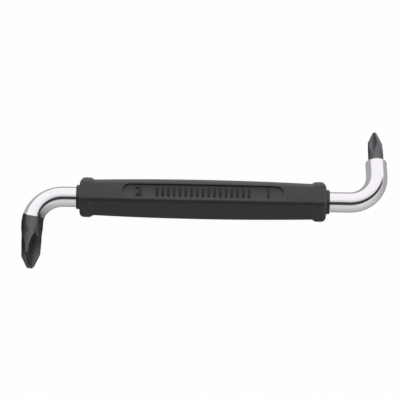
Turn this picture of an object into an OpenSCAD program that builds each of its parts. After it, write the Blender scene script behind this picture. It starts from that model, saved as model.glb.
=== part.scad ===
// Offset screwdriver: one hexagonal bar bent into a Z, with a cross tip on each leg and a moulded grip.
// X runs along the bar towards the small tip. The large tip's leg points towards -Y and the small tip's
// towards +Y, both level with the bar. The grip lies on Z = 0, and the origin is under the tool's middle.

/* [Whole tool] */
// Length over the outer sides of the two legs
overall_len = 115; // [109:0.5:140]
// Middle of the bar to the end of the large tip
large_reach = 24.6; // [22.5:0.1:40]
// Middle of the bar to the end of the small tip
small_reach = 24.6; // [22:0.1:40]

/* [Bar] */
// Width of the hexagonal bar across its flats
bar_af = 6.2; // [5.6:0.1:6.6]
// Radius on the six corners of the bar
bar_corner_r = 1; // [0.3:0.05:1.2]
// Angle of the bend beside the large tip, in degrees: square, or past it by an angle that rounds cleanly
large_bend_angle = 90.38; // [90, 90.38]
// Angle of the bend beside the small tip, in degrees: square, or past it by an angle that rounds cleanly
small_bend_angle = 92.05; // [90, 92.05]
// Middle radius of the bend beside the large tip
large_bend_r = 9.4; // [8:0.1:11]
// Middle radius of the bend beside the small tip
small_bend_r = 8.8; // [7:0.1:11]
// Length of the shoulder where the bar is turned down for the small tip
shoulder_len = 1.4; // [1:0.1:2.5]
// Length of bright round neck between that shoulder and the small tip's dark finish
neck_len = 0.2; // [0.2:0.1:2]
// Width of each groove that locks the bar in the grip
key_groove_w = 3; // [1:0.5:6]
// Depth of that groove below the flats of the bar
key_groove_depth = 0.15; // [0.1:0.05:0.4]
// Distance between the middles of the two grooves
key_groove_pitch = 44; // [20:1:56]

/* [Large cross tip] */
// Diameter of the blade where the point begins
large_blade_d = 6.3; // [5.5:0.05:6.5]
// Length over which the hexagon is turned down to that diameter
large_taper_len = 4; // [2:0.5:6]
// Diameter of the blunt end of the point
large_end_d = 2.4; // [1.6:0.1:2.6]
// Length of the four flutes, measured from the end
large_flute_len = 11.4; // [9:0.1:13]
// Length over which the bottoms of the flutes run level, measured from the end
large_floor_len = 4; // [1:0.1:6]
// Distance from the axis to that level bottom
large_root = 0.5; // [0.4:0.05:0.9]

/* [Small cross tip] */
// Diameter of the blade
small_blade_d = 4.8; // [4:0.05:5.2]
// Diameter of the blunt end of the point
small_end_d = 1.2; // [0.8:0.05:1.6]
// Length of the four flutes, measured from the end
small_flute_len = 8; // [6:0.1:8.4]
// Length over which the bottoms of the flutes run level, measured from the end
small_floor_len = 2.5; // [1:0.1:4]
// Distance from the axis to that level bottom
small_root = 0.4; // [0.35:0.05:0.55]
// Length of the dark finish, measured from the end
small_finish_len = 9.4; // [8.5:0.1:9.8]

/* [Both tips] */
// Angle of the cone that makes the point, in degrees
point_angle = 53; // [50:1:56]
// Angle of the flat cone on the blunt end, in degrees
end_angle = 140; // [120:5:160]
// Angle between the two sides of a flute, in degrees
flute_angle = 92; // [88:1:96]
// Turn of a flute from straight up towards the middle of the tool, in degrees
flute_turn = 24; // [0:1:44]
// Part of the large bend that is left bright, in degrees
bright_angle = 73; // [66:1:86]

/* [Grip] */
// Length over the two end bosses
grip_len = 79.6; // [70:0.2:84]
// Distance of the grip's middle from the tool's middle, towards the large tip
grip_shift = 0.8; // [0:0.1:1.5]
// Width of the body across its flats at the middle
belly_af = 11.9; // [11:0.1:12]
// Width of the body across its flats beside the collars
waist_af = 10.8; // [10:0.1:11]
// Width of the two collars across their flats
collar_af = 12; // [12:0.1:13]
// Length of each collar
collar_len = 4.3; // [4:0.1:6]
// Radius on the outer edge of each collar
collar_edge_r = 1.5; // [0.8:0.1:1.8]
// Length of the level crest of each collar, on which the tool rests
collar_crest_len = 1.5; // [0.8:0.1:1.6]
// Length of the short boss around the bar at each end
boss_len = 1.1; // [0.6:0.1:2]
// Wall of that boss
boss_wall = 0.6; // [0.4:0.05:1]
// Width of the narrow flat along each of the six corners
corner_flat_w = 0.8; // [0.3:0.1:1.4]
// Length of the sunk panel on the top flat
panel_len = 50.4; // [30:0.1:56]
// Width of that panel
panel_w = 4.8; // [3:0.1:4.8]
// Depth of that panel
panel_depth = 0.5; // [0.2:0.05:0.8]
// Gap between the bar and the material moulded around it
mould_gap = 0.02; // [0.01:0.01:0.05]

/* [Hidden] */
// How far a cutter runs past the face that it opens
overrun = 1;
// Angle by which a bend runs on into its leg, too small to show, so that the two always join
join_angle = 0.000001;
// Steps in a round corner of the bar and in a round edge of a collar
corner_steps = 4;
edge_steps = 5;
// Steps in half of the crowned body and in a round end of the panel
crown_steps = 7;
panel_steps = 12;
// Sides drawn on a turned surface
round_fn = 96;

steel_colour = [0.86, 0.87, 0.9];
dark_colour = [0.24, 0.24, 0.26];
grip_colour = [0.2, 0.2, 0.21];

// Corner distance of a hexagon as a share of half its width across flats
hex_corner_share = 1 / cos(30);

bar_corner = bar_af / 2 * hex_corner_share - bar_corner_r * (hex_corner_share - 1);
axis_z = collar_af / 2;
large_bend_x = overall_len / 2 - bar_corner - large_bend_r;
small_bend_x = overall_len / 2 - bar_corner - small_bend_r;

// Length of a leg from the end of its bend, for a reach that is measured square to the bar
function leg_len(reach, bend_r, turn) = (reach - bend_r * (1 - cos(turn))) / sin(turn);
large_leg_len = leg_len(large_reach, large_bend_r, large_bend_angle);
small_leg_len = leg_len(small_reach, small_bend_r, small_bend_angle);
bright_leg_len = small_leg_len - small_finish_len;
shoulder_top = bright_leg_len - neck_len;

// Half length and half width of the grip, taken in steps from the end to the middle
boss_half = bar_af / 2 + boss_wall;
collar_half = collar_af / 2;
waist_half = waist_af / 2;
belly_half = belly_af / 2;
collar_end_x = grip_len / 2 - boss_len;
body_end_x = collar_end_x - collar_len;
collar_slope_len = collar_len - collar_edge_r - collar_crest_len;
// Cut at the corners that leaves a flat of the named width
corner_cut = corner_flat_w / 2 * tan(30);

// Points of an arc around a centre, from one angle to another
function arc(centre, radius, from, to, steps) =
    [for (i = [0:steps]) let (a = from + (to - from) * i / steps)
        centre + radius * [cos(a), sin(a)]];

// Outline of the hexagonal bar with its rounded corners, grown all round by a gap
function bar_outline(grow) =
    let (radius = bar_corner_r + grow, centre_r = (bar_af / 2 - bar_corner_r) * hex_corner_share)
    [for (a = [0:60:300]) each arc(centre_r * [cos(a), sin(a)], radius, a - 30, a + 30, corner_steps)];

module bar_section(grow = 0) {
    polygon(bar_outline(grow));
}

// A frame at the middle of each bend
module at_large_bend() {
    translate([-large_bend_x, -large_bend_r, axis_z]) children();
}

module at_small_bend() {
    translate([small_bend_x, small_bend_r, axis_z]) rotate([0, 0, 180]) children();
}

// A frame at the end of a bend: local Z runs along the leg, local Y is up, local X points into the bend
module on_leg(bend_r, turn) {
    rotate([0, 0, turn - 90]) translate([-bend_r, 0, 0]) rotate([90, 0, 0]) children();
}

// A level stretch of bar centred on X
module straight_bar(from, to, grow = 0) {
    translate([from, 0, axis_z]) rotate([90, 0, 90]) linear_extrude(to - from) bar_section(grow);
}

// Part of a bend, between two turns from the straight bar
module bar_bend(bend_r, from, to) {
    rotate_extrude(angle = to - from, start = 90 + from, $fn = round_fn)
        translate([bend_r, 0]) bar_section();
}

// Ring that takes the bar down to the bottom of a key groove
module key_ring(grow) {
    width = key_groove_w - 2 * grow;
    floor_r = bar_af / 2 - key_groove_depth + grow;
    rotate([0, 90, 0]) difference() {
        cylinder(r = bar_corner + overrun, h = width, center = true, $fn = round_fn);
        cylinder(r = floor_r, h = width + overrun, center = true, $fn = round_fn);
    }
}

// The bar inside the grip with its two key grooves, or with a gap the space that it leaves in the grip
module keyed_bar(from, to, grow = 0) {
    difference() {
        straight_bar(from, to, grow);
        for (side = [-1, 1])
            translate([side * key_groove_pitch / 2 - grip_shift, 0, axis_z]) key_ring(grow);
    }
}

// The small leg up to the dark finish: full hexagon, then shoulder and round neck
module small_leg() {
    neck_r = small_blade_d / 2;
    cone_len = shoulder_len + overrun;
    cone_r = neck_r + (bar_corner - neck_r) * cone_len / shoulder_len;
    intersection() {
        linear_extrude(bright_leg_len) bar_section();
        rotate_extrude($fn = round_fn) polygon([
            [0, 0], [cone_r, 0], [cone_r, shoulder_top - cone_len],
            [neck_r, shoulder_top], [neck_r, bright_leg_len], [0, bright_leg_len]]);
    }
}

// Four V-shaped grooves with the tip's end at local zero. Each runs level from the end, and then rises along
// the rim of a wheel until it leaves the blade.
module flutes(blade_d, root, flute_len, floor_len) {
    rise = blade_d / 2 - root;
    run_out = flute_len - floor_len;
    wheel_r = (run_out * run_out + rise * rise) / (2 * rise);
    side = wheel_r * tan(flute_angle / 2);
    for (i = [0:3]) rotate([0, 0, 90 * i + 90 - flute_turn]) translate([root, 0, -floor_len]) union() {
        translate([wheel_r, 0, 0]) rotate([90, 0, 0])
            rotate_extrude(angle = 90, start = 180, $fn = round_fn)
                polygon([[wheel_r, 0], [0, side], [0, -side]]);
        linear_extrude(floor_len + overrun) polygon([[0, 0], [wheel_r, -side], [wheel_r, side]]);
    }
}

// A turned blade with its point, its end at local zero and its root at -len
module blade(len, blade_d, end_d, root_d, taper_len) {
    end_len = end_d / 2 / tan(end_angle / 2);
    point_len = (blade_d - end_d) / 2 / tan(point_angle / 2) + end_len;
    rotate_extrude($fn = round_fn) polygon([
        [0, -len], [root_d / 2, -len], [blade_d / 2, taper_len - len],
        [blade_d / 2, -point_len], [end_d / 2, -end_len], [0, 0]]);
}

module bent_bar() {
    color(steel_colour) union() {
        keyed_bar(-large_bend_x, small_bend_x);
        at_large_bend() bar_bend(large_bend_r, 0, bright_angle);
        at_small_bend() union() {
            bar_bend(small_bend_r, 0, small_bend_angle + join_angle);
            on_leg(small_bend_r, small_bend_angle) small_leg();
        }
    }
}

module large_cross_tip() {
    root_d = bar_af * hex_corner_share;
    color(dark_colour) at_large_bend() union() {
        bar_bend(large_bend_r, bright_angle, large_bend_angle + join_angle);
        on_leg(large_bend_r, large_bend_angle) translate([0, 0, large_leg_len]) difference() {
            intersection() {
                translate([0, 0, -large_leg_len]) linear_extrude(large_leg_len) bar_section();
                blade(large_leg_len, large_blade_d, large_end_d, root_d, large_taper_len);
            }
            flutes(large_blade_d, large_root, large_flute_len, large_floor_len);
        }
    }
}

module small_cross_tip() {
    color(dark_colour) at_small_bend() on_leg(small_bend_r, small_bend_angle)
        translate([0, 0, small_leg_len]) difference() {
            blade(small_finish_len, small_blade_d, small_end_d, small_blade_d, 0);
            flutes(small_blade_d, small_root, small_flute_len, small_floor_len);
        }
}

// Half of the grip's side outline, from the middle to the +X end
grip_profile = concat(
    [for (i = [0:crown_steps]) let (share = i / crown_steps)
        [body_end_x * share, belly_half - (belly_half - waist_half) * share * share]],
    [for (i = [1:edge_steps]) let (a = 90 * (1 - i / edge_steps))
        [body_end_x + collar_slope_len * (1 - sin(a)), waist_half + (collar_half - waist_half) * cos(a)]],
    arc([collar_end_x - collar_edge_r, collar_half - collar_edge_r], collar_edge_r, 90, 0, edge_steps),
    [[collar_end_x, boss_half], [grip_len / 2, boss_half]]);

// Both halves of the side outline, widened by a share of their width and then cut back all along
function side_outline(width_share, cut) =
    let (upper = [for (p = grip_profile) [p.x, p.y * width_share - cut]], last = len(upper) - 1)
    concat(
        upper,
        [for (i = [last:-1:0]) [upper[i].x, -upper[i].y]],
        [for (i = [1:last]) [-upper[i].x, -upper[i].y]],
        [for (i = [last:-1:1]) [-upper[i].x, upper[i].y]]);

// A slab with the grip's side outline, as thick as needed to span the grip
module side_slab(width_share = 1, cut = 0) {
    rotate([90, 0, 0]) linear_extrude(2 * collar_af, center = true) polygon(side_outline(width_share, cut));
}

// Six crowned sides, with a narrow flat along each corner
module grip_body() {
    intersection_for (i = [0:5])
        rotate([30 * i, 0, 0])
            if (i % 2 == 0) side_slab(); else side_slab(hex_corner_share, corner_cut);
}

// The sunk panel follows the crown of the top flat
module panel_recess() {
    end_centre = [(panel_len - panel_w) / 2, 0];
    difference() {
        linear_extrude(collar_af) polygon(concat(
            arc(end_centre, panel_w / 2, -90, 90, panel_steps),
            arc(-end_centre, panel_w / 2, 90, 270, panel_steps)));
        side_slab(1, panel_depth);
    }
}

module grip() {
    bore_half = grip_len / 2 + overrun;
    color(grip_colour) difference() {
        translate([-grip_shift, 0, axis_z]) difference() {
            grip_body();
            panel_recess();
        }
        keyed_bar(-grip_shift - bore_half, bore_half - grip_shift, mould_gap);
    }
}

bent_bar();
large_cross_tip();
small_cross_tip();
grip();
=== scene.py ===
"""Looks of the offset screwdriver: bright bent bar, black cross tips and moulded grip."""
from math import atan2, cos, inf, pi, radians, sin, sqrt, tan

import bpy
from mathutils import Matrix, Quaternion, Vector
from mathutils.geometry import delaunay_2d_cdt


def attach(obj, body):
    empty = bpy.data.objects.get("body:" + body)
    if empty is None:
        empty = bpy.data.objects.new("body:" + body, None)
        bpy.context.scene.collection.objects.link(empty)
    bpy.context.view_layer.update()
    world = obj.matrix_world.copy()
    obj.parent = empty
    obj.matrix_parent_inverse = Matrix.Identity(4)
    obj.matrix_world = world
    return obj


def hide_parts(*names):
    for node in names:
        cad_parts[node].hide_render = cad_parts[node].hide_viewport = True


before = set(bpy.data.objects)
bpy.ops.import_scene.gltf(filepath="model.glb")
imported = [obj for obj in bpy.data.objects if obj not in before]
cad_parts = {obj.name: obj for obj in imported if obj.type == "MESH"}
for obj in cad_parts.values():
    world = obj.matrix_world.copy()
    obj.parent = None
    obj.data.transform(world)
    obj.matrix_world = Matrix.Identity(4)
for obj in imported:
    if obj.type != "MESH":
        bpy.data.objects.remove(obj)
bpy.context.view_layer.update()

MM = 0.001

# Sizes in millimetres, as in the part's source

OVERALL = 115.0
REACH = 24.6

BAR_AF = 6.2
BAR_CORNER_R = 1.0
LARGE_BEND_TURN = radians(90.38)
SMALL_BEND_TURN = radians(92.05)
BRIGHT_TURN = radians(73)  # how far round the bend of the large tip the bright plate goes
LARGE_BEND_R = 9.4
SMALL_BEND_R = 8.8
SHOULDER_LEN = 1.4
NECK_LEN = 0.2

LARGE_BLADE_R = 3.15
LARGE_TAPER_LEN = 4.0
LARGE_END_R = 1.2
LARGE_FLUTE_LEN = 11.4
LARGE_FLOOR_LEN = 4.0  # how far back from the end the bottom of the flutes stays level
LARGE_ROOT = 0.5  # distance from the axis to that bottom
SMALL_BLADE_R = 2.4
SMALL_END_R = 0.6
SMALL_FLUTE_LEN = 8.0
SMALL_FLOOR_LEN = 2.5
SMALL_ROOT = 0.4
SMALL_FINISH_LEN = 9.4
POINT_HALF = radians(53 / 2)
END_HALF = radians(140 / 2)
FLUTE_HALF = radians(92 / 2)
FLUTE_TURN = radians(24)

GRIP_LEN = 79.6
GRIP_SHIFT = 0.8
BELLY = 11.9 / 2
WAIST = 10.8 / 2
COLLAR = 12.0 / 2
COLLAR_LEN = 4.3
COLLAR_EDGE_R = 1.5
COLLAR_CREST_LEN = 1.5
BOSS_LEN = 1.1
BOSS = BAR_AF / 2 + 0.6
CORNER_FLAT_W = 0.8
PANEL_LEN = 50.4
PANEL_W = 4.8
PANEL_DEPTH = 0.5
MOULD_GAP = 0.02

# Sizes in millimetres of the finer shapes that are drawn here alone

FLAT_CROWN = 0.03  # drop of the bar's flats towards their edges
SMALL_OVERLAP = 0.5  # black finish that runs on over the small tip's neck
BLACK_LEAN = 0.45  # lean of the plane where black and bright meet, as shift along the bar per height
BLACK_LEAN_REACH = 3.4  # distance along the bar over which that lean fades out
SLOPE_LEAD = 0.5  # start of the slope up to a collar, before the body's end
GRIP_EDGE_R = 0.9  # rounding of the grip's long edges
BOSS_FOOT_R = 0.25
BOSS_RIM_R = 0.2
PANEL_RIM_R = 0.14
PANEL_FOOT_R = 0.12
MARK_HEIGHT = 0.3
MARK_SINK = 0.1  # how deep a raised mark stands in the panel's floor

# Steps of the meshes

BEND_PARTS = 72
STRAIGHT_PARTS = 12
GRIP_FLAT_PARTS = 2
GRIP_EDGE_PARTS = 5
FLUTE_PARTS = 10
LAND_PARTS = 22
EDGE_HALVINGS = 26  # in the search for a flute's edge
SHOULDER_LEAD = 0.3  # start of the fine rings before the shoulder, in millimetres
PANEL_MARGIN = 1.2  # top flat beyond each end of the panel that is meshed with it, in millimetres

# Worked out from the sizes

AXIS_Z = COLLAR
HEX_SHARE = 1 / cos(radians(30))  # corner distance of a hexagon per half width across its flats
BAR_CORNER = BAR_AF / 2 * HEX_SHARE - BAR_CORNER_R * (HEX_SHARE - 1)
CORNER_CENTRE = (BAR_AF / 2 - BAR_CORNER_R) * HEX_SHARE
FLAT_START = atan2(BAR_CORNER_R * sin(pi / 6), CORNER_CENTRE + BAR_CORNER_R * cos(pi / 6))
LARGE_BEND_X = OVERALL / 2 - BAR_CORNER - LARGE_BEND_R
SMALL_BEND_X = OVERALL / 2 - BAR_CORNER - SMALL_BEND_R
BRIGHT_END = LARGE_BEND_X + LARGE_BEND_R * BRIGHT_TURN
GRIP_HALF = GRIP_LEN / 2
COLLAR_END = GRIP_HALF - BOSS_LEN
BODY_END = COLLAR_END - COLLAR_LEN
CORNER_CUT = CORNER_FLAT_W / 2 * tan(pi / 6)


# Help with meshes

def steps(start, stop, parts):
    return [start + (stop - start) * i / parts for i in range(parts + 1)]


def chain(start, *legs):
    """Steps from the start through several stops, each leg being a stop and its number of steps."""
    points = [start]
    for stop, parts in legs:
        points += steps(start, stop, parts)[1:]
        start = stop
    return points


def sweep(share):
    """Smooth rise from 0 to 1 while the share rises from 0 to 1."""
    return share - sin(2 * pi * share) / (2 * pi)


def arc(cx, cy, r, start, stop, parts):
    return [(cx + r * cos(a), cy + r * sin(a)) for a in steps(start, stop, parts)]


def closed(row):
    """Each entry of a closed row, together with the next one."""
    return zip(row, [*row[1:], *row[:1]])


def add_ring(verts, points):
    """Adds points to a mesh and gives their numbers."""
    verts += points
    return range(len(verts) - len(points), len(verts))


def join(low, high, faces, skip=0):
    """Faces between two rings of points, without the first few if asked."""
    sides = list(zip(closed(low), closed(high)))
    faces += [(a, b, d, c) for (a, b), (c, d) in sides[skip:]]


def skin(rings, faces):
    """Closed skin over rings of points."""
    for low, high in zip(rings, rings[1:]):
        join(low, high, faces)
    faces += [tuple(reversed(rings[0])), tuple(rings[-1])]


def inside(outline, p):
    """True if p is in the outline, a list of (x, y)."""
    found = False
    for (x1, y1), (x2, y2) in closed(outline):
        if (y1 > p[1]) != (y2 > p[1]) and p[0] < (x2 - x1) * (p[1] - y1) / (y2 - y1) + x1:
            found = not found
    return found


def fill(verts, outline, hole, axes, faces, turn=1):
    """Triangles between an outline and a hole, rows of point numbers, as seen in the plane of two axes.
    They run anticlockwise there, or clockwise if turn is -1."""
    numbers = [*outline, *hole]
    flat = [Vector([verts[n][axis] for axis in axes]) for n in numbers]
    rim = len(outline)
    edges = [*closed(range(rim)), *closed(range(rim, len(numbers)))]
    points, _, found, source, _, _ = delaunay_2d_cdt(flat, edges, [], 1, 1e-6)
    for triangle in found:
        a, b, c = (points[k] for k in triangle)
        if not inside(flat[rim:], (a + b + c) / 3):
            order = turn if (b - a).cross(c - a) > 0 else -turn
            faces.append(tuple(numbers[source[k][0]] for k in triangle[::order]))


def new_piece(name, verts, faces, material, attributes, node=None, sharp=35):
    """A mesh in millimetres that rides on the tool's one body and may stand for a CAD node. Its faces shade
    into each other where they meet at less than the sharp angle, in degrees."""
    mesh = bpy.data.meshes.new(name)
    mesh.from_pydata([Vector(v) * MM for v in verts], [], faces)
    mesh.validate()
    mesh.polygons.foreach_set("use_smooth", [True] * len(mesh.polygons))
    mesh.set_sharp_from_angle(angle=radians(sharp))
    for label, values in attributes.items():
        if hasattr(values[0], "__len__"):
            layer = mesh.attributes.new(label, "FLOAT_VECTOR", "POINT")
            layer.data.foreach_set("vector", [c for v in values for c in v])
        else:
            layer = mesh.attributes.new(label, "FLOAT", "POINT")
            layer.data.foreach_set("value", values)
    mesh.materials.append(material)
    piece = bpy.data.objects.new(name, mesh)
    bpy.context.scene.collection.objects.link(piece)
    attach(piece, "root")
    if node:
        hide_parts(node)


# The bar's section, as distances from its axis. Angle 0 points along the leg plane, at a corner.

def corner_offset(angle):
    """Angle from the nearest corner of a hexagon."""
    return abs((angle + pi / 6) % (pi / 3) - pi / 6)


def hexagon_r(angle):
    """Distance to the rounded hexagon."""
    a = corner_offset(angle)
    if a >= FLAT_START:
        return BAR_AF / 2 / cos(pi / 6 - a)
    return CORNER_CENTRE * cos(a) + sqrt(BAR_CORNER_R ** 2 - (CORNER_CENTRE * sin(a)) ** 2)


def crown_drop(angle):
    """How far the bar lies under the hexagon, because its flats are a touch crowned."""
    off_middle = tan(pi / 6 - corner_offset(angle)) / tan(pi / 6 - FLAT_START)
    return FLAT_CROWN * min(off_middle, 1) ** 3


def bar_angles(corner_parts=12, flat_parts=8):
    """Angles round the bar, close together on its six rounded corners."""
    flat_half = BAR_AF / 2 * tan(pi / 6 - FLAT_START)
    angles = []
    for corner in steps(0, 2 * pi, 6)[:-1]:
        for turn in steps(-pi / 6, pi / 6, corner_parts)[:-1]:
            angles.append(corner + atan2(BAR_CORNER_R * sin(turn), CORNER_CENTRE + BAR_CORNER_R * cos(turn)))
        for across in steps(-flat_half, flat_half, flat_parts)[:-1]:
            angles.append(corner + pi / 6 + atan2(across, BAR_AF / 2))
    return angles


# The bar's path. side is -1 on the way to the large tip and +1 on the way to the small one.

class Path:
    """Middle line of one half of the bar, from the tool's middle to the end of a tip, by distance."""

    def __init__(self, side, bend_x, bend_r, bend_turn):
        self.side, self.bend_x, self.bend_r, self.bend_turn = side, bend_x, bend_r, bend_turn
        self.bend_end = bend_x + bend_r * bend_turn
        self.leg_len = (REACH - bend_r * (1 - cos(bend_turn))) / sin(bend_turn)
        self.end = self.bend_end + self.leg_len

    def place(self, s):
        """The point at distance s and the turn there from the straight bar."""
        turn = min(max((s - self.bend_x) / self.bend_r, 0), self.bend_turn)
        x = min(s, self.bend_x) + self.bend_r * sin(turn)
        y = self.bend_r * (1 - cos(turn))
        beyond = max(s - self.bend_end, 0)
        return self.side * (x + beyond * cos(turn)), self.side * (y + beyond * sin(turn)), turn

    def point(self, s, angle, r):
        """A point of the section: angle 0 is on the outer side of the bend, a quarter turn is up."""
        x, y, turn = self.place(s)
        across, up = self.side * r * cos(angle), r * sin(angle)
        return x + across * sin(turn), y - across * cos(turn), AXIS_Z + up


large_path = Path(-1, LARGE_BEND_X, LARGE_BEND_R, LARGE_BEND_TURN)
small_path = Path(1, SMALL_BEND_X, SMALL_BEND_R, SMALL_BEND_TURN)


def black_lean(path, s):
    """Lean of a ring of points, as shift along the bar per height. It is full where black meets bright."""
    if path is small_path:
        return 0
    return BLACK_LEAN * max(0, 1 - abs(s - BRIGHT_END) / BLACK_LEAN_REACH)


def shoulder_r(back):
    """Radius of the small tip's turned shoulder at a distance back from the neck's start."""
    return SMALL_BLADE_R + (BAR_CORNER - SMALL_BLADE_R) * sweep(min(max(back / SHOULDER_LEN, 0), 1))


def build_bar(material):
    """The bright bar, from the black finish of the large tip to that of the small one."""
    neck_start = small_path.end - SMALL_FINISH_LEN - NECK_LEN
    fine_start = neck_start - SHOULDER_LEN - SHOULDER_LEAD
    black_start = small_path.end - SMALL_FINISH_LEN - SMALL_OVERLAP
    large_side = chain(BRIGHT_END, (LARGE_BEND_X, BEND_PARTS), (0, STRAIGHT_PARTS))
    small_side = chain(0, (SMALL_BEND_X, STRAIGHT_PARTS), (small_path.bend_end, BEND_PARTS),
                       (fine_start, 10), (black_start, 24))
    stations = [(large_path, s) for s in large_side] + [(small_path, s) for s in small_side[1:]]
    angles = bar_angles()
    verts, faces, place, wear, rings = [], [], [], [], []
    for path, s in stations:
        turned_r = shoulder_r(neck_start - s) if path is small_path else BAR_CORNER
        lean = black_lean(path, s)
        ring = []
        for a in angles:
            r = min(hexagon_r(a) - crown_drop(a), turned_r)
            # a starts on the -Y side all along, which is the bend's outer side on the small tip's half alone
            from_outer = a if path is small_path else pi - a
            ring.append(path.point(s + lean * r * sin(a), from_outer, r))
            place.append((path.side * s, a * BAR_AF / 2, r))
            wear.append(max(0, (r - BAR_AF / 2) / (BAR_CORNER - BAR_AF / 2)))
        rings.append(add_ring(verts, ring))
    skin(rings, faces)
    attributes = {"place": place, "edge": wear}
    new_piece("bright_bar", verts, faces, material, attributes, "bent_bar", sharp=30)


# Cross tips

def flute_wall(off_middle, floor):
    """Distance from the axis to a flute's wall, off_middle being the angle from the flute's middle."""
    spare = cos(off_middle) * tan(FLUTE_HALF) - abs(sin(off_middle))
    return floor * tan(FLUTE_HALF) / spare if spare > 1e-6 else inf


class Tip:
    """Form of a cross tip. Places along it are distances back from its end."""

    def __init__(self, path, blade_r, end_r, taper_len, root, flute_len, floor_len):
        self.path, self.blade_r, self.end_r, self.taper_len = path, blade_r, end_r, taper_len
        self.root, self.floor_len = root, floor_len
        self.end_len = end_r / tan(END_HALF)
        self.point_len = (blade_r - end_r) / tan(POINT_HALF) + self.end_len
        rise = blade_r - root
        self.wheel_r = ((flute_len - floor_len) ** 2 + rise ** 2) / (2 * rise)

    def outer_r(self, back, angle):
        """Radius of the turned blade, or on the large tip of what the hexagon leaves of it."""
        if back < self.end_len:
            r = back * tan(END_HALF)
        elif back < self.point_len:
            r = self.end_r + (back - self.end_len) * tan(POINT_HALF)
        elif not self.taper_len:
            r = shoulder_r(back - SMALL_FINISH_LEN - NECK_LEN)
        else:
            tapered = max(back - self.path.leg_len + self.taper_len, 0) / self.taper_len
            r = self.blade_r + (BAR_AF / 2 * HEX_SHARE - self.blade_r) * tapered
        return min(r, hexagon_r(angle)) if self.taper_len else r

    def flute_floor(self, back):
        """Distance from the axis to the bottom of the flutes, which rises along the rim of a wheel."""
        climb = max(back - self.floor_len, 0)
        return self.root + self.wheel_r - sqrt(max(self.wheel_r ** 2 - climb ** 2, 0))

    def flute_edge(self, back, middle, way):
        """Angle from a flute's middle to its edge on one side, by halving. It is 0 where no flute is."""
        floor = self.flute_floor(back)
        if floor >= self.outer_r(back, middle):
            return 0
        low, high = 0, pi / 4
        for _ in range(EDGE_HALVINGS):
            mid = (low + high) / 2
            if flute_wall(mid, floor) < self.outer_r(back, middle + way * mid):
                low = mid
            else:
                high = mid
        return low


def tip_wear(back, off, edge, outer, cut):
    """Wear of a tip: full along a flute's edge, and on the lands fading out from the point. off and edge
    are the angles of the place and of the flute's edge from the flute's middle."""
    least_edge, edge_band, worn_len = radians(1), radians(2.5), 2.2
    if edge > least_edge and abs(off - edge) < edge_band and cut > 0.97 * outer:
        return 1
    return 1 - back / worn_len if cut > 1.001 * outer and back < worn_len else 0


def painted_tip_shade(left, angle, in_flute, painted_left_shade):
    """Painted shade of the black, from 0 at its darkest to 1: the flanks are painted darker than the top, as
    light falls on them, and the left flank and the left flute walls darker still, as much as the last
    argument says.
    left says how far the place faces that way, from -1 to 1."""
    if in_flute:
        return 1 - 0.5 * painted_left_shade * max(left, 0)
    flank = 0.66 - (0.51 * painted_left_shade if left > 0 else 0)
    return flank + (0.86 - flank) * sin(angle) ** 4


def build_tip(name, tip, stops, painted_left_shade, material, node):
    """A tip as rings of points, which have points on every flute edge."""
    least_split, least_r = radians(4), 0.02
    path = tip.path
    verts, faces, place, wear, depth, rings = [], [], [], [], [], []
    for s in stops:
        back = path.end - s
        floor = tip.flute_floor(back)
        lean = black_lean(path, s)
        ring = []
        for i in range(8):
            # an eighth of the circle at a time, up to a flute's middle or on from it
            middle, way = (i // 2 + 1) * pi / 2 - FLUTE_TURN, 1 if i % 2 else -1
            edge = tip.flute_edge(back, middle, way)
            offsets = chain(0, (max(edge, least_split), FLUTE_PARTS), (pi / 4, LAND_PARTS))
            for off in offsets[:-1] if way > 0 else offsets[:0:-1]:
                angle = middle + way * off
                outer, cut = max(tip.outer_r(back, angle), least_r), flute_wall(off, floor)
                r = min(outer, cut)
                # the tip's angle starts on the bend's inner side, and the path's on its outer side
                ring.append(path.point(s + lean * r * sin(angle), pi - angle, r))
                place.append((path.side * s, angle * tip.blade_r, r))
                wear.append(tip_wear(back, off, edge, outer, cut))
                # painted shade of the black, by which way each place faces
                depth.append(painted_tip_shade(path.side * cos(angle), angle, cut < 0.99 * outer, painted_left_shade))
        rings.append(add_ring(verts, ring))
    skin(rings, faces)
    attributes = {"place": place, "edge": wear, "depth": depth}
    new_piece(name, verts, faces, material, attributes, node, sharp=24)


def build_tips():
    large = Tip(large_path, LARGE_BLADE_R, LARGE_END_R, LARGE_TAPER_LEN,
                LARGE_ROOT, LARGE_FLUTE_LEN, LARGE_FLOOR_LEN)
    end = large_path.end
    stops = chain(BRIGHT_END, (large_path.bend_end, 12), (end - LARGE_FLUTE_LEN, 8),
                  (end - large.point_len, 60), (end - large.end_len, 30), (end, 6))
    build_tip("large_tip", large, stops, 1.0, black_finish("large_black", 1.05, 0.30), "large_cross_tip")
    small = Tip(small_path, SMALL_BLADE_R, SMALL_END_R, 0, SMALL_ROOT, SMALL_FLUTE_LEN, SMALL_FLOOR_LEN)
    end = small_path.end
    stops = chain(end - SMALL_FINISH_LEN - SMALL_OVERLAP, (end - SMALL_FINISH_LEN, 8),
                  (end - SMALL_FLUTE_LEN, 4), (end - small.point_len, 44),
                  (end - small.end_len, 26), (end, 5))
    build_tip("small_tip", small, stops, 0.35, black_finish("small_black", 1.32, 0.38), "small_cross_tip")


# Grip

def crown_h(x):
    """Half width across the flats of the crowned body at x from the grip's middle."""
    return BELLY - (BELLY - WAIST) * (x / BODY_END) ** 2


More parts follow.
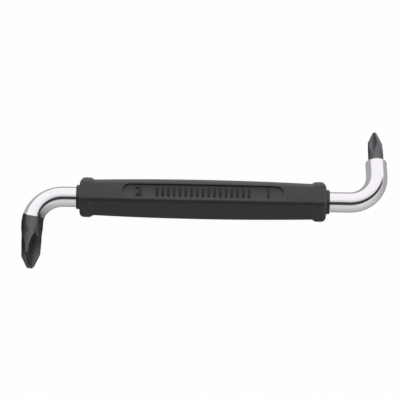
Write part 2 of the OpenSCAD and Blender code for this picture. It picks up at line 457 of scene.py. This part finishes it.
def grip_profile():
    """Half width across the flats along one half of the grip, from its middle to its end."""
    slope_start = BODY_END - SLOPE_LEAD
    crest_end = COLLAR_END - COLLAR_EDGE_R
    crest_start = crest_end - COLLAR_CREST_LEN
    foot_h = crown_h(slope_start)
    run, rise = crest_start - slope_start, COLLAR - foot_h
    points = [(x, crown_h(x)) for x in steps(0, BODY_END, 40) if x < slope_start]
    points += [(slope_start + run * share, foot_h + rise * sweep(share)) for share in steps(0, 1, 12)]
    points += [(x, COLLAR) for x in steps(crest_start, crest_end, 3)[1:]]
    points += arc(crest_end, COLLAR - COLLAR_EDGE_R, COLLAR_EDGE_R, pi / 2, 0, 10)[1:]
    points += [(COLLAR_END, (COLLAR - COLLAR_EDGE_R + BOSS + BOSS_FOOT_R) / 2)]
    points += arc(COLLAR_END + BOSS_FOOT_R, BOSS + BOSS_FOOT_R, BOSS_FOOT_R, -pi, -pi / 2, 3)
    points += [(x, BOSS) for x in steps(COLLAR_END + BOSS_FOOT_R, GRIP_HALF - BOSS_RIM_R, 2)[1:]]
    points += arc(GRIP_HALF - BOSS_RIM_R, BOSS - BOSS_RIM_R, BOSS_RIM_R, pi / 2, 0, 3)[1:]
    return points


def rounding(first, first_h, second, second_h):
    """Arc that joins two faces of the grip, given by the directions and the distances of the faces."""
    a1, a2, turn = first_h - GRIP_EDGE_R, second_h - GRIP_EDGE_R, sin(second - first)
    cx = (a1 * sin(second) - a2 * sin(first)) / turn
    cy = (a2 * cos(first) - a1 * cos(second)) / turn
    return arc(cx, cy, GRIP_EDGE_R, first, second, GRIP_EDGE_PARTS)


def grip_ring(h):
    """Points round the grip in (y, z): six flats and six narrow corner flats, with every edge rounded off.
    The first GRIP_FLAT_PARTS + 1 points lie on the top flat, from -Y to +Y."""
    corner_h = h * HEX_SHARE - CORNER_CUT
    half = h * tan(pi / 6) - 2 * CORNER_CUT - GRIP_EDGE_R * tan(pi / 12)
    points = []
    for i in range(6):
        flat = pi / 2 - i * pi / 3
        corner, next_flat = flat - pi / 6, flat - pi / 3
        points += [(h * cos(flat) + t * sin(flat), h * sin(flat) - t * cos(flat))
                   for t in steps(-half, half, GRIP_FLAT_PARTS)]
        points += rounding(flat, h, corner, corner_h)[1:]
        points += rounding(corner, corner_h, next_flat, h)[:-1]
    return points


def stadium(grow, straight_parts=56, end_parts=20):
    """Outline of the panel in (x, y), grown outwards."""
    r, cx = PANEL_W / 2 + grow, (PANEL_LEN - PANEL_W) / 2
    points = arc(cx, 0, r, -pi / 2, pi / 2, end_parts)
    points += [(x, r) for x in steps(cx, -cx, straight_parts)[1:-1]]
    points += arc(-cx, 0, r, pi / 2, 3 * pi / 2, end_parts)
    return points + [(x, -r) for x in steps(-cx, cx, straight_parts)[1:-1]]


def panel_loops(verts):
    """Rim, wall and foot of the sunk panel, as loops of points that go down."""
    turns = steps(0, pi / 2, 4)
    levels = [(PANEL_RIM_R * (1 - sin(a)), PANEL_RIM_R * (1 - cos(a))) for a in turns]
    levels += [(-PANEL_FOOT_R * (1 - cos(a)), PANEL_DEPTH - PANEL_FOOT_R * (1 - sin(a))) for a in turns]
    return [add_ring(verts, [(x, y, crown_h(x) - drop) for x, y in stadium(grow)]) for grow, drop in levels]


def build_grip(material):
    half = grip_profile()
    profile = [(-x, h) for x, h in reversed(half[1:])] + half
    verts, faces = [], []
    rings = [add_ring(verts, [(x, y, z) for y, z in grip_ring(h)]) for x, h in profile]
    by_panel = [ring for ring, (x, h) in zip(rings, profile) if abs(x) < PANEL_LEN / 2 + PANEL_MARGIN]
    for low, high in zip(rings, rings[1:]):
        join(low, high, faces, skip=GRIP_FLAT_PARTS if low in by_panel and high in by_panel else 0)

    # sunk panel: its wall, the top flat round it, and its floor
    loops = panel_loops(verts)
    for low, high in zip(loops, loops[1:]):
        join(low, high, faces)
    first, last = by_panel[0], by_panel[-1]
    around = [ring[0] for ring in by_panel] + [*last[1:GRIP_FLAT_PARTS]]
    around += [ring[GRIP_FLAT_PARTS] for ring in reversed(by_panel)] + [*first[GRIP_FLAT_PARTS - 1:0:-1]]
    fill(verts, around, loops[0], (0, 1), faces)
    fill(verts, loops[-1], [], (0, 1), faces)

    # bore round the bar, and the end faces
    angles = sorted(bar_angles(corner_parts=6, flat_parts=1), key=lambda a: -atan2(sin(a), cos(a)))
    bore = [((hexagon_r(a) + MOULD_GAP) * cos(a), (hexagon_r(a) + MOULD_GAP) * sin(a)) for a in angles]
    low, high = (add_ring(verts, [(x, y, z) for y, z in bore]) for x in (-GRIP_HALF, GRIP_HALF))
    join(high, low, faces)
    fill(verts, rings[0], low, (1, 2), faces, turn=-1)
    fill(verts, rings[-1], high, (1, 2), faces)

    edge_band = radians(4.5)
    wear = [max(0, 1 - corner_offset(atan2(z, y)) / edge_band) for x, y, z in verts]
    verts = [(x - GRIP_SHIFT, y, z + AXIS_Z) for x, y, z in verts]
    new_piece("moulded_grip", verts, faces, material, {"edge": wear}, "grip")


# Raised marks in the panel: plain size numbers and a row of ribs

MARK_WEAR = 0.6  # where a bare edge counts as 1


def panel_level(x):
    """Height of the panel's floor above the surface that the tool lies on."""
    return AXIS_Z + crown_h(x) - PANEL_DEPTH


def build_number(name, character, x, material, height=3.1, height_per_size=0.73):
    """One plain raised number, standing on the panel's floor."""
    curve = bpy.data.curves.new(name, "FONT")
    curve.body = character
    curve.size = height / height_per_size
    curve.extrude = MARK_HEIGHT / 2
    curve.bevel_depth = 0.06
    curve.bevel_resolution = 2
    curve.offset = 0.02
    curve.align_x = "CENTER"
    curve.align_y = "CENTER"
    shape = bpy.data.objects.new(name, curve)
    bpy.context.scene.collection.objects.link(shape)
    bpy.context.view_layer.update()
    mesh = bpy.data.meshes.new_from_object(shape)
    bpy.data.objects.remove(shape)
    lift = panel_level(x) + MARK_HEIGHT / 2 - MARK_SINK
    verts = [(v.co.x + x - GRIP_SHIFT, v.co.y, v.co.z + lift) for v in mesh.vertices]
    faces = [tuple(p.vertices) for p in mesh.polygons]
    new_piece(name, verts, faces, material, {"edge": [MARK_WEAR] * len(verts)})


def build_ribs(material, number=17, first_x=-14.4, pitch=1.8, width=0.8, length=3.0):
    """Raised ribs across the panel with rounded ends and rounded tops."""
    # inset and height of each outline, from the foot to the top
    levels = [(0, -MARK_SINK), (0, MARK_HEIGHT * 0.55), (0.04, MARK_HEIGHT * 0.8),
              (0.12, MARK_HEIGHT * 0.95), (0.24, MARK_HEIGHT)]
    cy = (length - width) / 2
    verts, faces = [], []
    for k in range(number):
        x, rings = first_x + pitch * k, []
        for inset, z in levels:
            r = width / 2 - inset
            outline = arc(x - GRIP_SHIFT, cy, r, 0, pi, 10) + arc(x - GRIP_SHIFT, -cy, r, pi, 2 * pi, 10)
            rings.append(add_ring(verts, [(px, py, panel_level(x) + z) for px, py in outline]))
        skin(rings, faces)
    new_piece("raised_ribs", verts, faces, material, {"edge": [MARK_WEAR] * len(verts)})


# Materials

WHITE = (1, 1, 1, 1)


class Wire:
    """A shader socket in a Python expression. Each operator adds one Math node."""

    def __init__(self, finish, socket):
        self.finish, self.socket = finish, socket

    def _math(self, operation, a, b):
        return self.finish.node("ShaderNodeMath", {"operation": operation}, {0: a, 1: b})

    def __add__(self, other):
        return self._math("ADD", self, other)

    def __radd__(self, other):
        return self._math("ADD", other, self)

    def __sub__(self, other):
        return self._math("SUBTRACT", self, other)

    def __rsub__(self, other):
        return self._math("SUBTRACT", other, self)

    def __mul__(self, other):
        return self._math("MULTIPLY", self, other)

    def __rmul__(self, other):
        return self._math("MULTIPLY", other, self)


class Finish:
    """A material's node tree, or the world's."""

    def __init__(self, name, blocks=bpy.data.materials):
        self.block = blocks.new(name)
        self.block.use_nodes = True
        self.tree = self.block.node_tree
        self.tree.nodes.clear()

    def node(self, kind, settings=None, sockets=None, out=0):
        """Adds a node: its settings first, then values or wires for its sockets. Gives the wire of one
        output. The stops of a ramp of greys are places from 0 to 1, each with a tone."""
        made = self.tree.nodes.new(kind)
        for key, value in (settings or {}).items():
            if key == "stops":
                elements = made.color_ramp.elements
                while len(elements) < len(value):
                    elements.new(0.5)
                for element, (place, tone) in zip(elements, value):
                    element.position, element.color = place, (tone, tone, tone, 1)
            else:
                setattr(made, key, value)
        for key, value in (sockets or {}).items():
            if isinstance(value, Wire):
                self.tree.links.new(value.socket, made.inputs[key])
            else:
                made.inputs[key].default_value = value
        return Wire(self, made.outputs[out]) if made.outputs else None

    def clamp(self, value, low=0.0, high=1.0):
        return self.node("ShaderNodeClamp", {}, {"Value": value, "Min": low, "Max": high})

    def attribute(self, name, out="Fac"):
        """A mesh attribute, as its number or as its Vector."""
        return self.node("ShaderNodeAttribute", {"attribute_name": name}, out=out)

    def frame_place(self):
        """Place in the tool's own frame, in metres."""
        return self.node("ShaderNodeTexCoord", out="Object")

    def noise(self, where, scale, detail=4.0, rough=0.55):
        sockets = {"Vector": where, "Scale": scale, "Detail": detail, "Roughness": rough}
        return self.node("ShaderNodeTexNoise", {}, sockets)

    def stretch(self, where, factors):
        return self.node("ShaderNodeVectorMath", {"operation": "MULTIPLY"}, {0: where, 1: factors})

    def blend(self, share, first, second):
        """A colour between two. This node's colours share their names, so they go by number."""
        return self.node("ShaderNodeMix", {"data_type": "RGBA"}, {0: share, 6: first, 7: second}, out=2)

    def greys(self, where, *stops):
        return self.node("ShaderNodeValToRGB", {"stops": stops}, {"Fac": where})

    def ray(self, kind):
        """One for the rays of a kind: Camera, Glossy or Transmission."""
        return self.node("ShaderNodeLightPath", out=f"Is {kind} Ray")

    def mix(self, share, first, second):
        """A shader between two."""
        return self.node("ShaderNodeMixShader", {}, {0: share, 1: first, 2: second})

    def relief(self, height, strength, distance):
        sockets = {"Height": height, "Strength": strength, "Distance": distance}
        return self.node("ShaderNodeBump", {}, sockets)

    def surface(self, **sockets):
        named = {name.replace("_", " "): value for name, value in sockets.items()}
        shader = self.node("ShaderNodeBsdfPrincipled", {}, named)
        self.node("ShaderNodeOutputMaterial", {}, {"Surface": shader})
        return self.block


def bright_plate():
    """Polished plate on drawn steel: faint lines along the bar, a little haze and softer corners."""
    f = Finish("bright_plate")
    place, body = f.attribute("place", out="Vector"), f.frame_place()
    edge = f.attribute("edge")
    lines = f.noise(f.stretch(place, (0.05, 9.0, 0.0)), 1.0, 3.0)
    haze = f.noise(body, 140.0)
    specks = f.noise(body, 2600.0, 2.0)
    rough = f.clamp(0.05 + 0.05 * haze + 0.04 * lines + 0.03 * edge, 0.03, 0.3)
    tone = f.blend(haze, (0.89, 0.86, 0.90, 1), (0.96, 0.93, 0.97, 1))
    relief = f.relief(0.6 * lines + 0.1 * specks, strength=0.03, distance=0.04 * MM)
    return f.surface(Base_Color=tone, Metallic=1.0, Roughness=rough, Normal=relief)


def black_finish(name, lift, dull):
    """Satin black on ground steel, uneven, with painted shade darkening its flanks, and rubbed brighter
    along the flute edges and the point.
    """
    f = Finish(name)
    place, body = f.attribute("place", out="Vector"), f.frame_place()
    edge, depth = f.attribute("edge"), f.attribute("depth")
    grind = f.noise(f.stretch(place, (5.0, 0.35, 0.0)), 1.0)
    cloud = f.noise(body, 420.0)
    grain = f.noise(body, 5200.0, 3.0)
    worn = f.clamp((edge * (0.45 + 0.9 * cloud) - 0.42) * 1.6)
    # deep is the near black of the painted shade, towards which the tip's attribute darkens its flanks
    deep, dark, pale = ((lift * v, lift * v * 0.96, lift * v * 1.03, 1) for v in (0.02, 0.16, 0.25))
    black = f.blend(depth, deep, f.blend(cloud, dark, pale))
    tone = f.blend(0.5 * worn, black, (0.34, 0.34, 0.35, 1))
    rough = f.clamp(dull + 0.12 * cloud + 0.08 * grind - 0.10 * worn, 0.2, 0.75)
    relief = f.relief(0.5 * grind + 0.5 * grain, strength=0.25, distance=0.06 * MM)
    return f.surface(Base_Color=tone, Metallic=0.85, Roughness=rough, Normal=relief,
                     Specular_Tint=(0.35, 0.35, 0.36, 1))


def moulded_plastic(name, lift, dull):
    """Black moulding with a fine spark-eroded grain, smoother and a touch paler along its corners."""
    f = Finish(name)
    edge, body = f.attribute("edge"), f.frame_place()
    grain = f.noise(body, 3600.0, 3.0, 0.6)
    pores = f.node("ShaderNodeTexVoronoi", {"feature": "F1"}, {"Vector": body, "Scale": 4200.0})
    flow = f.noise(f.stretch(body, (0.35, 1.0, 1.0)), 160.0)
    rubbed = f.clamp(edge * (0.5 + flow) - 0.35)
    dark, pale, worn = ((lift * v, lift * v * 0.86, lift * v * 0.98, 1) for v in (0.039, 0.049, 0.066))
    tone = f.blend(0.5 * rubbed, f.blend(flow, dark, pale), worn)
    rough = f.clamp(dull + 0.08 * flow + 0.05 * grain - 0.06 * rubbed, 0.15, 0.7)
    relief = f.relief(0.6 * grain + 0.4 * pores, strength=0.35, distance=0.05 * MM)
    return f.surface(Base_Color=tone, Metallic=0.0, Roughness=rough, Normal=relief, Specular_IOR_Level=0.7)


# Floor, light and camera

def lay_floor(half=3.0):
    """Pale floor, seen as white, that keeps the tool's shadow, and whose paper has a painted shadow round
    the tool, seen in mirrors. half is half its width, in metres.
    """
    f = Finish("pale_floor")
    x, y = (f.node("ShaderNodeSeparateXYZ", {}, {0: f.frame_place()}, out=axis) for axis in "XY")
    # painted shadow: the paper is greyer close to the tool, where the bar mirrors it, and paler in front and
    # beyond the right end
    painted_shadow_fade = f.clamp(x - OVERALL / 2 * MM) * 8.0 - y * 4.0
    paper_with_painted_shadow = f.node("ShaderNodeBsdfDiffuse", {}, {"Color": f.greys(painted_shadow_fade, (0.07, 0.46), (0.42, 0.97))})
    glow = f.node("ShaderNodeEmission", {}, {"Color": WHITE, "Strength": 1.0})
    seen = (f.ray("Camera") + f.ray("Transmission")) * 0.985 + f.ray("Glossy") * 0.12
    f.node("ShaderNodeOutputMaterial", {}, {"Surface": f.mix(seen, paper_with_painted_shadow, glow)})
    corners = [(-half, -half, 0), (half, -half, 0), (half, half, 0), (-half, half, 0)]
    mesh = bpy.data.meshes.new("floor")
    mesh.from_pydata(corners, [], [(0, 1, 2, 3)])
    mesh.materials.append(f.block)
    floor = bpy.data.objects.new("floor", mesh)
    bpy.context.scene.collection.objects.link(floor)


def light_studio():
    """White studio, dimmer in front for soft light and dark there for mirrors: the bar's dark line."""
    f = Finish("studio", bpy.data.worlds)
    direction = f.node("ShaderNodeTexCoord", out="Generated")
    to_front = {0: direction, 1: (0, -1, 0)}
    front = f.node("ShaderNodeVectorMath", {"operation": "DOT_PRODUCT"}, to_front, out="Value") * 0.5 + 0.5
    soft_tone = f.greys(front, (0.35, 1.0), (0.6, 0.18))
    mirrored_tone = f.greys(front, (0.303, 1.0), (0.342, 0.6), (0.40, 0.045))
    soft, mirrored, white = (f.node("ShaderNodeBackground", {}, {"Color": tone, "Strength": strength})
                             for tone, strength in ((soft_tone, 1.3), (mirrored_tone, 1.0), (WHITE, 1.0)))
    lit = f.mix(f.ray("Glossy"), soft, mirrored)
    seen = f.ray("Camera") + f.ray("Transmission")
    f.node("ShaderNodeOutputWorld", {}, {"Surface": f.mix(seen, lit, white)})
    bpy.context.scene.world = f.block


def set_camera(elevation=radians(66), roll=radians(1.18), distance=696.0, aim=(-1.71, -0.19, AXIS_Z)):
    """Camera at the photograph's angle. Distance and aim are in millimetres."""
    back = Vector((0, -cos(elevation), sin(elevation)))
    data = bpy.data.cameras.new("camera")
    data.lens, data.sensor_width = 199, 36
    camera = bpy.data.objects.new("camera", data)
    camera.location = (Vector(aim) + back * distance) * MM
    camera.rotation_mode = "QUATERNION"
    camera.rotation_quaternion = (-back).to_track_quat("-Z", "Y") @ Quaternion((0, 0, 1), roll)
    bpy.context.scene.collection.objects.link(camera)
    bpy.context.scene.camera = camera


# Assembly

build_bar(bright_plate())
build_tips()
build_grip(moulded_plastic("moulded_plastic", 1.06, 0.36))
# painted shade: the raised marks take the grip's own plastic at under a third of its tone
marks = moulded_plastic("mark_plastic_painted_dark", 0.3, 0.6)
build_number("raised_2", "2", -20.2, marks)
build_number("raised_1", "1", 20.4, marks)
build_ribs(marks)
lay_floor()
light_studio()
set_camera()
bpy.context.scene.view_settings.view_transform = "Standard"
